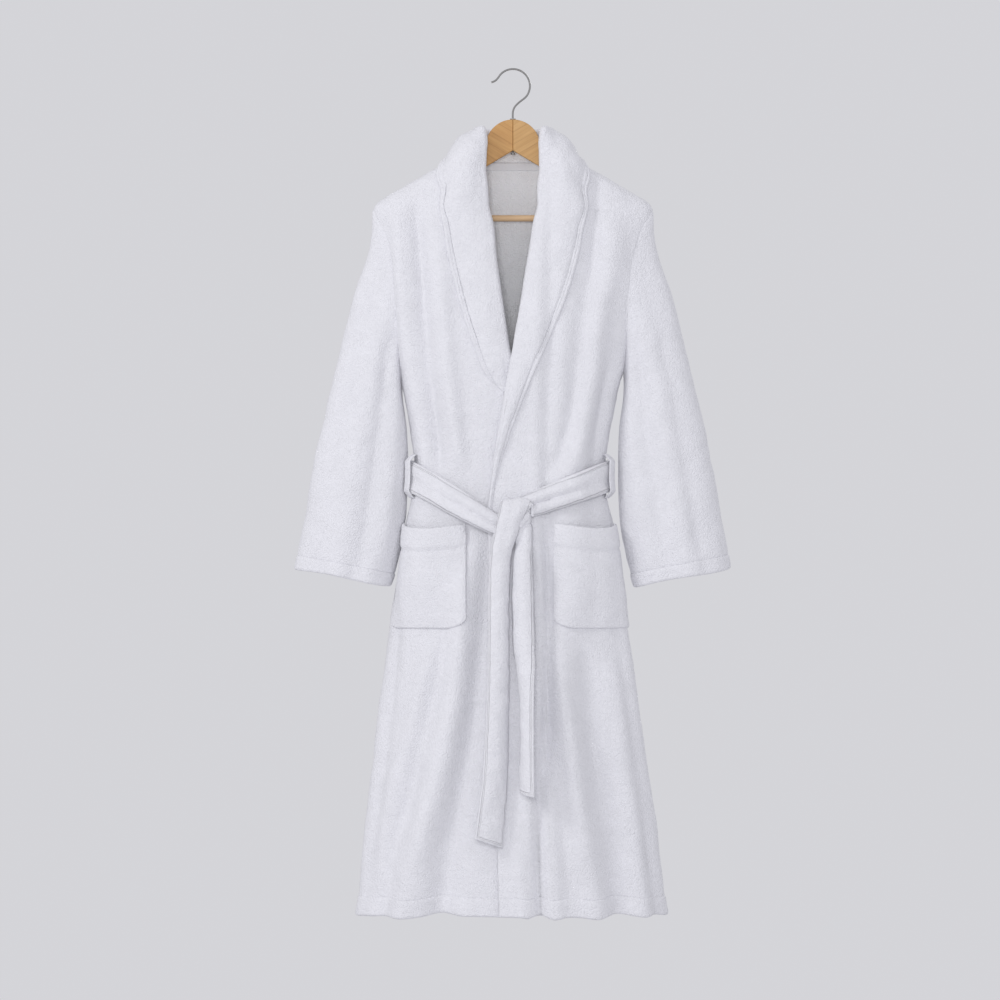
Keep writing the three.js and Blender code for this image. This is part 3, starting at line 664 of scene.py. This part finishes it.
def spline(rows, count):
    """Catmull-Rom through rows, resampled to count rows."""
    rows = np.asarray(rows, float)
    t = np.linspace(0, len(rows) - 1, count)
    i = np.clip(t.astype(int), 0, len(rows) - 2)
    f = (t - i)[:, None]
    p0, p1 = rows[np.maximum(i - 1, 0)], rows[i]
    p2, p3 = rows[i + 1], rows[np.minimum(i + 2, len(rows) - 1)]
    return 0.5 * (2 * p1 + (p2 - p0) * f + (2 * p0 - 5 * p1 + 4 * p2 - p3) * f**2
                  + (3 * p1 - p0 - 3 * p2 + p3) * f**3)


def collar_rows(side):
    edge, outer = (left_edge, left_outer) if side > 0 else (right_edge, right_outer)
    neck = [(180.6, 180.6, -165), (165, 168, -164), (150, 155, -161.5), (120, 128, -154.5), (94, 99, -146.5),
            (72, 72, -151.5)]
    rows = [[side * math.radians(a), ROLL_TOP, side * math.radians(b), z] for a, b, z in neck]
    pairs = [(ROLL_TOP, -176), (-128, -200), (-172, -235), (-225, -280), (-285, -330), (-345, -380)]
    if side > 0:
        pairs += [(-400, -425), (-450, -470), (-505, -518), (-560, -568), (-605, -609), (-650, -652),
                  (-692, -693)]
    else:
        pairs += [(-395, -420), (-430, -450), (-462, -476), (-485, -497)]
    for zf, zo in pairs:
        rows.append([float(phi_of_x(edge(zf), zf)), zf, float(phi_of_x(outer(zo), zo)), zo])
    return spline(rows, 150)


def collar_lift(side, phi, z, across):
    under = overlap_lift(section(phi, z)[..., 0], z) if side > 0 else 0
    hollow = 8 * np.sin(math.pi * np.clip(across, 0, 1)) * ramp(z, -300, -150)
    plump = 3.5 * np.sin(math.pi * np.clip(across, 0, 1)) ** 0.7
    rim = 1 - 0.75 * ramp(np.clip(across, 0, 1), 0.55, 1.0)
    groove = -2.4 * np.exp(-(((np.clip(across, 0, 1) - 0.91) / 0.03) ** 2))
    return under + CLOTH + 2.6 + 2.4 * ramp(z, -240, -165) * rim + hollow + plump + groove


def collar(side):
    rows = collar_rows(side)
    turn = np.linspace(math.pi, 0, 9)
    rows_across = samples(75, 3)[4:]
    us = np.concatenate([np.linspace(-1, 0, 6)[:-1], np.zeros(len(turn)), rows_across])
    s = np.concatenate([np.full(5, math.pi), turn, np.zeros(len(rows_across))])
    fold_phi, fold_z, out_phi, out_z = [rows[:, k][:, None] for k in range(4)]
    finish = ramp(-fold_z, 560, 690) if side > 0 else ramp(-fold_z, 430, 485)
    roll = mix(5.4, 2.2, finish)
    inset = through([(-93, 3.5), (-200, 4), (-290, 3), (-382, 6.5), (-700, 6.5)] if side > 0 else
                    [(-93, 3.5), (-150, 5), (-229, 7.5), (-382, 8), (-700, 8)])(fold_z)
    inside = np.where(us < 0, -us * 0.3, 0)[None, :]
    across = np.maximum(us, 0)[None, :]
    q = across + inside
    phi, z = mix(fold_phi, out_phi, q), mix(fold_z, out_z, q)
    base = body(phi, z, 0.0, mix(0.55, 1.0, across**2))
    n = body_normal(phi, z)
    near_fold = 0.12 + 0 * q
    beside = body(mix(fold_phi, out_phi, near_fold), mix(fold_z, out_z, near_fold), 0.0, 0.6)
    away = unit(body(fold_phi + 0 * q, fold_z + 0 * q, 0.0, 0.6) - beside)
    lift_top = collar_lift(side, phi, z, across) - 4.5 * finish
    lift_fold = collar_lift(side, fold_phi + 0 * q, fold_z + 0 * q, 0 * q) - 4.5 * finish
    low = lift_fold - 2 * roll
    rolled = low + roll * (1 + np.cos(s))[None, :]
    lift = np.where(us[None, :] < 0, low, np.where(s[None, :] > 0, rolled, lift_top))
    beyond = roll * np.sin(s)[None, :] - inset * (1 - ramp(across, 0, 0.5))
    mid = base + n * lift[..., None] + away * beyond[..., None]
    name = "left_collar" if side > 0 else "right_collar"
    mid += n * (0.5 * waves(mid, 40, 11) + 0.3 * waves(mid, 16, 12))[..., None]
    outward = n * np.where(us < 0, -1, 1)[None, :, None]
    obj = cloth_mesh(name, mid, mix(5.2, 3.4, finish), outward, body_name="robe", replaced=(name,),
                     material=terry)
    rim = mid[:, -1]
    toward = unit(mid[:, -1] - mid[:, -4])
    path = rim + toward * 1.8
    cord = cord_mesh(name + "_piping", path, mix(3.6, 1.8, finish[:, 0]), body_name="robe",
                     replaced=(name + "_piping",), material=terry)
    return obj, cord


left_collar, left_piping = collar(1)
right_collar, right_piping = collar(-1)


def stand():
    us, vs = samples(300, 5), samples(46, 4)
    u, v = np.meshgrid(us, vs)
    z = mix(-96.0, -141.0, v)
    phi = mix(phi_of_x(left_edge(z), z), 2 * math.pi + phi_of_x(right_edge(z), z), u)
    mid = body(phi, z, 1.2, 0.3)
    return cloth_mesh("collar_stand", mid, 4.0, body_normal(phi, z), body_name="robe",
                      replaced=("collar_stand",), material=terry)


collar_stand = stand()
# The stand's inner face also gets the lighter inside terry: painted light.
paint_inside_lighter(collar_stand)


def neck_tape():
    us, vs = samples(118, 5), samples(12, 2)
    u, v = np.meshgrid(us, vs)
    z = mix(-141.0, -153.0, v)
    phi = math.pi + math.radians(26) * mix(-1, 1, u)
    mid = body(phi, z, -LAYER - 0.9, 0.6)
    return cloth_mesh("neck_tape", mid, 1.6, body_normal(phi, z), body_name="robe", replaced=("neck_tape",),
                      slot="tape", material=tape_material)


tape = neck_tape()


# ---- sleeves ----
def curve(points):
    pts = np.asarray(points, float)

    def at(t):
        t = np.clip(np.asarray(t, float), 0, 1) * (len(pts) - 1)
        i = np.clip(t.astype(int), 0, len(pts) - 2)
        f = (t - i)[..., None]
        p0, p1 = pts[np.maximum(i - 1, 0)], pts[i]
        p2, p3 = pts[i + 1], pts[np.minimum(i + 2, len(pts) - 1)]
        return 0.5 * (2 * p1 + (p2 - p0) * f + (2 * p0 - 5 * p1 + 4 * p2 - p3) * f**2
                      + (3 * p1 - p0 - 3 * p2 + p3) * f**3)

    return at


sleeve_inner = curve([(180, -457), (168, -520), (164, -580), (165, -640), (169, -700), (178, -750),
                      (191, -790)])
sleeve_outer = curve([(206, -215), (235, -324), (265, -445), (296, -582), (318, -704), (330, -764)])
SLEEVE_LENGTH = 564.0
CUFF = 0.906


def sleeve_point(side, angle, t, lift):
    inner, outer = sleeve_inner(t), sleeve_outer(t)
    middle, half = (inner + outer) / 2, (outer - inner) / 2
    reach = np.linalg.norm(half, axis=-1)
    c, s = np.cos(angle), np.sin(angle)
    k = (c * (reach + lift) / reach)[..., None]
    xz = middle + half * k
    depth = mix(ARM_DEPTH, 36.0, ramp(t, 0, 0.8))
    y = (depth + lift) * s
    seam_z = ARM_MID + (ARM_HALF + lift) * c
    phi = np.where(s < 0, front_side_phi(seam_z), back_side_phi(seam_z))
    seam = body(phi, seam_z, CLOTH, 0.0)[..., 0]
    x = mix(seam, xz[..., 0], ramp(t, 0, 0.25)) - 3.2 * (1 - ramp(t, 0, 0.011))
    return np.stack([side * x, y, xz[..., 1]], -1)


def sleeve(side, t0, t1, thick, name, nodes):
    around = np.arange(132) / 132
    vs = samples(SLEEVE_LENGTH * (t1 - t0), STEP)
    u, v = np.meshgrid(around, vs)
    t, angle = mix(t0, t1, v), 2 * math.pi * u
    mid = sleeve_point(side, angle, t, CLOTH / 2)
    middle = (sleeve_inner(t) + sleeve_outer(t)) / 2
    out = unit(mid - np.stack([side * middle[..., 0], 0 * t, middle[..., 1]], -1))
    # soft folds that run down the sleeve
    down = ramp(t, 0.02, 0.25)
    s = np.sin(angle)
    c = np.cos(angle)
    ridge = (5.5 * np.exp(-(((c + 0.72 - 0.25 * t) / 0.2) ** 2))
             - 5 * np.exp(-(((c + 0.25 + 0.1 * t) / 0.22) ** 2))
             + 4 * np.exp(-(((c - 0.2) / 0.25) ** 2)) - 3.5 * np.exp(-(((c - 0.62 + 0.15 * t) / 0.2) ** 2)))
    d = down * ridge * np.abs(s) ** 0.5 + 1.0 * waves(mid, 85, 21 + side) + 0.35 * waves(mid, 24, 23)
    mid = mid + out * d[..., None]
    mid[..., 2] += 1.2 * np.sin(3 * angle + side) * ramp(t, 0.85, 1.0)
    return cloth_mesh(name, mid, thick, out, closed_u=True, replaced=nodes, material=terry)


# Each sleeve is one tube from the bottom of the armhole in place of the upper and lower sleeve; its cuff is
# attached to the sleeve.
for side, word in ((1, "left"), (-1, "right")):
    lengths = (word + "_upper_sleeve", word + "_lower_sleeve")
    tube = sleeve(side, 0.0, CUFF, PANEL_THICK, word + "_sleeve_cloth", lengths)
    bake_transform(tube)
    cuff = sleeve(side, CUFF - 0.004, 1.0, BAND_THICK, word + "_cuff_cloth", (word + "_cuff",))
    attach(cuff, word + "_sleeve")


# ---- pockets ----
POCKET_WIDTH, POCKET_HEIGHT = 118.0, 156.0
POCKET_INNER_X, POCKET_TOP, POCKET_BOTTOM = 66.0, -695.0, -852.0
POCKET_CORNER, POCKET_SAG = 18.0, 8.0


def pocket(side):
    us, vs = samples(POCKET_WIDTH, 3.5), samples(POCKET_HEIGHT, 3.5)
    u, v = np.meshgrid(us, vs)
    sag = POCKET_SAG * np.sin(math.pi * u)
    corner = 1 - np.minimum(1, POCKET_WIDTH * u / POCKET_CORNER)
    round_up = POCKET_CORNER * (1 - np.sqrt(np.maximum(0, 1 - corner**2)))
    z = mix(POCKET_TOP - sag, POCKET_BOTTOM + round_up, v)
    phi = side * mix(side * phi_of_x(side * POCKET_INNER_X, z), math.radians(80), u)
    gape = 15 * np.sin(math.pi * u) ** 0.8 * np.cos(math.pi / 2 * v) ** 0.8
    x = section(phi, z)[..., 0]
    lift = (overlap_lift(x, z) if side > 0 else 0) + CLOTH + 1.9 + gape
    free = np.sin(math.pi * u) ** 0.7 * (1 - 0.6 * v)
    band = (1 - ramp(v, 0.205, 0.235)) * 1.5
    stitch = POCKET_HEIGHT / 1.8
    groove = -2.4 * (np.exp(-(((v - 0.215) * stitch) ** 2)) + 0.8 * np.exp(-(((v - 0.25) * stitch) ** 2)))
    mid = body(phi, z, lift + band, mix(1.0, 0.45, free)) + body_normal(phi, z) * groove[..., None]
    name = "left_pocket" if side > 0 else "right_pocket"
    obj = cloth_mesh(name, mid, 4.6, body_normal(phi, z), body_name="robe", replaced=(name,), material=terry)
    n = body_normal(phi, z)
    under = mid - n * 0.6
    path = np.concatenate([under[8:-5, 2], under[-3, 2:-3]])
    path = spline(path[::3], 110)
    cord = cord_mesh(name + "_piping", path, 3.1, sides=10, body_name="robe", material=terry)
    return obj, cord


left_pocket, left_pocket_cord = pocket(1)
right_pocket, right_pocket_cord = pocket(-1)

# ---- belt ----
KNOT_X, KNOT_Z, BELT_Z = 4.0, -688.0, -622.0
BELT_RUN, BELT_ACROSS = 880, 56
LOOP_WIDTH, LOOP_LENGTH = 12, 68


def belt_mesh():
    start = float(phi_of_x(KNOT_X + 7, KNOT_Z))
    end = float(phi_of_x(KNOT_X - 7, KNOT_Z))
    us, vs = samples(BELT_RUN, 4.5), samples(BELT_ACROSS, 2.2)
    u, v = np.meshgrid(us, vs)
    phi = mix(start, 2 * math.pi + end, u)
    x = section(phi, BELT_Z + 0 * phi)[..., 0]
    front_part = np.where(np.cos(phi) > 0, np.maximum(0, 1 - np.abs(x) / 142.0), 0)
    middle = mix(BELT_Z, np.where(x > 0, -672.0, -697.0), np.minimum(1, front_part / 0.87))
    half = mix(50.0, 32.0, front_part**1.5) / 2
    z = middle + half * (1 - 2 * v)
    on_front = np.where(np.cos(phi) > 0, OVERLAP * ramp(x, -110, -50) * (1 - ramp(x, 84, 141)), 0)
    puckers = ramp(front_part, 0.0, 0.5)
    right_side = np.where(x > 0, 1.0, 0.75)
    wave = 2.9 * np.cos(2 * math.pi * (2.1 * v + 0.35 * front_part + 0.1)) * puckers * right_side
    wave = wave + 1.6 * np.sin(2 * math.pi * (1.2 * v + 0.9 * front_part)) * (1 - puckers)
    bulge = 2.8 * np.sin(math.pi * v)
    mid = body(phi, z, on_front + CLOTH + LAYER + 4.6 + wave + bulge + 2 * puckers, 0.35)
    mid += body_normal(phi, z) * (0.5 * waves(mid, 26, 31))[..., None]
    return cloth_mesh("belt", mid, 7.4, body_normal(phi, z), rim=4.5, body_name="robe", replaced=("belt",),
                      material=terry_stitched)


belt = belt_mesh()

knot_y = float(body(phi_of_x(KNOT_X, KNOT_Z), KNOT_Z, OVERLAP + CLOTH + LAYER, 0.3)[1])


def knot_mesh():
    """The gathered cloth inside the knot, under the turn that shows."""
    theta, around = np.linspace(0.02, math.pi - 0.02, 34), np.linspace(0, 2 * math.pi, 64, endpoint=False)
    t, a = np.meshgrid(theta, around, indexing="ij")
    x = KNOT_X + 23 * power(np.sin(t) * np.cos(a))
    y = knot_y - 9.5 - 9.5 * power(np.sin(t) * np.sin(a))
    z = KNOT_Z + 2 + 17 * power(np.cos(t))
    points = np.stack([x, y, z], -1)
    away = unit(points - np.array([KNOT_X, knot_y - 9.5, KNOT_Z + 2]))
    points = points + away * (1.1 * waves(points, 12, 41) + 0.5 * waves(points, 6, 42))[..., None]
    rows, cols = t.shape
    grid = np.arange(rows * cols).reshape(rows, cols)
    beside = np.roll(grid, -1, 1)
    quads = np.stack([grid[:-1], grid[1:], beside[1:], beside[:-1]], -1).reshape(-1, 4)
    caps = [list(grid[0]), list(grid[-1][::-1])]
    return make_mesh("belt_knot", points.reshape(-1, 3), quads.tolist() + caps, body_name="robe",
                     replaced=("belt_knot",), material=terry)


knot = knot_mesh()


def tail(name, node, centre, yaw_of, curl_of, width_of, pleat, slant):
    """A hanging end of the sash. centre lists (x, z, how far it stands before the knot's back, or None)."""
    rows = []
    for x, z, y in centre:
        if y is None:
            surface = float(body(phi_of_x(x, z), z, OVERLAP + CLOTH, 0.8)[1])
            curl, turn = float(curl_of(z)), math.radians(float(yaw_of(z)))
            radius = 25.0 / curl
            reach = radius * (1 - math.cos(curl)) + radius * abs(math.sin(min(curl, 1.57)) * math.sin(turn))
            rows.append([x, surface - reach - 4.5, z])
        else:
            rows.append([x, knot_y - y, z])
    line = spline(rows, 900)
    step = np.concatenate([[0], np.cumsum(np.linalg.norm(np.diff(line, axis=0), axis=1))])
    length = step[-1]
    vs = samples(length, 3.2)
    mid_line = np.stack([np.interp(vs * length, step, line[:, k]) for k in range(3)], -1)
    tangent = unit(np.gradient(mid_line, axis=0))
    side = np.array([1.0, 0, 0])
    face = unit(np.cross(tangent, side))
    side = unit(np.cross(face, tangent))
    us = samples(50, 2.0)
    u, v = np.meshgrid(us, vs)
    z0 = np.broadcast_to(mid_line[:, 2:3], u.shape)
    hidden = (np.arange(len(vs)) < np.argmax(mid_line[:, 2])).astype(float)[:, None]
    shown_z = np.where(hidden > 0, float(np.max(mid_line[:, 2])), z0)
    turn, curl = np.radians(yaw_of(shown_z)), curl_of(shown_z)
    width = width_of(shown_z)
    radius = 0.5 * width / curl
    arc = curl * (2 * u - 1)
    across = radius * np.sin(arc)
    back_off = radius * (1 - np.cos(arc))
    ridge = pleat * (1 - ramp(-shown_z, 700, 775))
    back_off = back_off - ridge * np.cos(2 * math.pi * 1.5 * (u - 0.1))
    along_x = across * np.cos(turn) - back_off * np.sin(turn)
    along_n = across * np.sin(turn) + back_off * np.cos(turn)
    mid = mid_line[:, None] + side[:, None] * along_x[..., None] - face[:, None] * along_n[..., None]
    mid[..., 2] += slant * (2 * u - 1) * ramp(v, 0.8, 1.0)
    out = np.broadcast_to(face[:, None], mid.shape) + side[:, None] * np.sin(turn + arc)[..., None]
    mid = mid + unit(out) * (0.6 * waves(mid, 30, 51) + 0.35 * waves(mid, 12, 52))[..., None]
    obj = cloth_mesh(name, mid, 5.2, unit(out), rim=3.4, replaced=(node,), material=terry_stitched)
    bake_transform(obj)
    return obj


long_tail = tail(
    "sash_turn_and_long_tail", "belt_long_tail",
    [(9, -684, 3), (8, -668, 4), (6, -657, 12), (4, -659, 21), (1, -670, 26), (-3, -686, 26.5),
     (-8, -702, 25),
     (-13, -722, 25), (-16, -750, None), (-17, -800, None), (-17, -880, None), (-18, -960, None),
     (-22, -1060, None), (-29, -1130, None), (-35, -1178, None)],
    through([(-655, 0), (-706, 5), (-760, 24), (-960, 30), (-1100, 26), (-1180, 20)]),
    through([(-655, 1.0), (-706, 1.25), (-800, 1.35), (-1000, 1.15), (-1100, 0.8), (-1180, 0.55)]),
    through([(-655, 52), (-680, 46), (-730, 42), (-800, 44), (-960, 46), (-1180, 47)]),
    1.7, -5.0)
short_tail = tail(
    "sash_short_tail", "belt_short_tail",
    [(8, -682, 6), (12, -688, 8), (15, -697, 12), (16, -707, 15), (15, -722, 16), (12, -750, None),
     (11, -800, None), (12, -880, None), (14, -960, None), (15, -1040, None), (15, -1102, None)],
    through([(-680, 0), (-706, -5), (-760, -18), (-870, -26), (-930, -55), (-990, -66), (-1103, -62)]),
    through([(-680, 1.5), (-706, 1.5), (-800, 1.3), (-960, 1.1), (-1103, 0.9)]),
    through([(-680, 34), (-730, 36), (-800, 42), (-1103, 44)]),
    1.0, -6.0)


def belt_loop(side):
    us, vs = samples(LOOP_WIDTH, 2), samples(LOOP_LENGTH, 2.5)
    u, v = np.meshgrid(us, vs)
    z = BELT_Z + LOOP_LENGTH * (0.5 - v)
    phi = side * (math.pi / 2 + (u - 0.5) * (LOOP_WIDTH / 38.0) * 0.5 - 0.24)
    out = mix(CLOTH + LAYER, 19.0, np.minimum(1, 7 * np.minimum(v, 1 - v)) ** 0.6)
    mid = body(phi, z, out + 1.2, 0.0)
    name = "left_belt_loop" if side > 0 else "right_belt_loop"
    return cloth_mesh(name, mid, 2.6, body_normal(phi, z), body_name="robe", replaced=(name,), material=terry)


belt_loops = [belt_loop(1), belt_loop(-1)]

# ---- floor, light and camera ----
FLOOR, FLOOR_Z = 4.0, -2.35
floor_mesh = bpy.data.meshes.new("floor")
corners = [(-FLOOR, -FLOOR), (FLOOR, -FLOOR), (FLOOR, FLOOR), (-FLOOR, FLOOR)]
floor_mesh.from_pydata([(x, y, FLOOR_Z) for x, y in corners], [], [(0, 1, 2, 3)])
floor = bpy.data.objects.new("floor", floor_mesh)
bpy.context.collection.objects.link(floor)
floor_material, _, _, floor_shader = new_material("floor")
floor_shader.inputs["Base Color"].default_value = (0.66, 0.66, 0.68, 1)
floor_shader.inputs["Roughness"].default_value = 0.8
floor_mesh.materials.append(floor_material)


def area_light(name, place, aim, size, energy, color=(1, 1, 1)):
    data = bpy.data.lights.new(name, "AREA")
    data.shape = "RECTANGLE"
    data.size, data.size_y = size
    data.energy = energy
    data.color = color
    light = bpy.data.objects.new(name, data)
    light.location = place
    light.rotation_euler = (Vector(aim) - Vector(place)).to_track_quat("-Z", "Y").to_euler()
    bpy.context.collection.objects.link(light)


area_light("key", (-3.2, -2.4, 1.5), (0, 0, -0.65), (1.0, 1.0), 44)
area_light("front", (-0.2, -5.2, -0.2), (0, 0, -0.6), (1.0, 1.0), 72, (0.98, 0.985, 1))
area_light("back", (1.8, 3.0, 1.2), (0, 0, -0.6), (1.6, 1.6), 30)

world = bpy.data.worlds.new("world")
bpy.context.scene.world = world
world.use_nodes = True
world.node_tree.nodes["Background"].inputs["Color"].default_value = (0.66, 0.66, 0.69, 1)
world.node_tree.nodes["Background"].inputs["Strength"].default_value = 1.0
bpy.context.scene.view_settings.view_transform = "Standard"

camera_data = bpy.data.cameras.new("camera")
camera = bpy.data.objects.new("camera", camera_data)
bpy.context.collection.objects.link(camera)
DISTANCE, KNOT_FORWARD, VIEW_WIDTH = 9.0, 0.06, 1.52
camera.location = (-0.0198, -DISTANCE, -0.658)
camera.rotation_euler = (math.pi / 2, 0, 0)
camera_data.sensor_width = 36
camera_data.lens = 36 * (DISTANCE - KNOT_FORWARD) / VIEW_WIDTH
bpy.context.scene.camera = camera
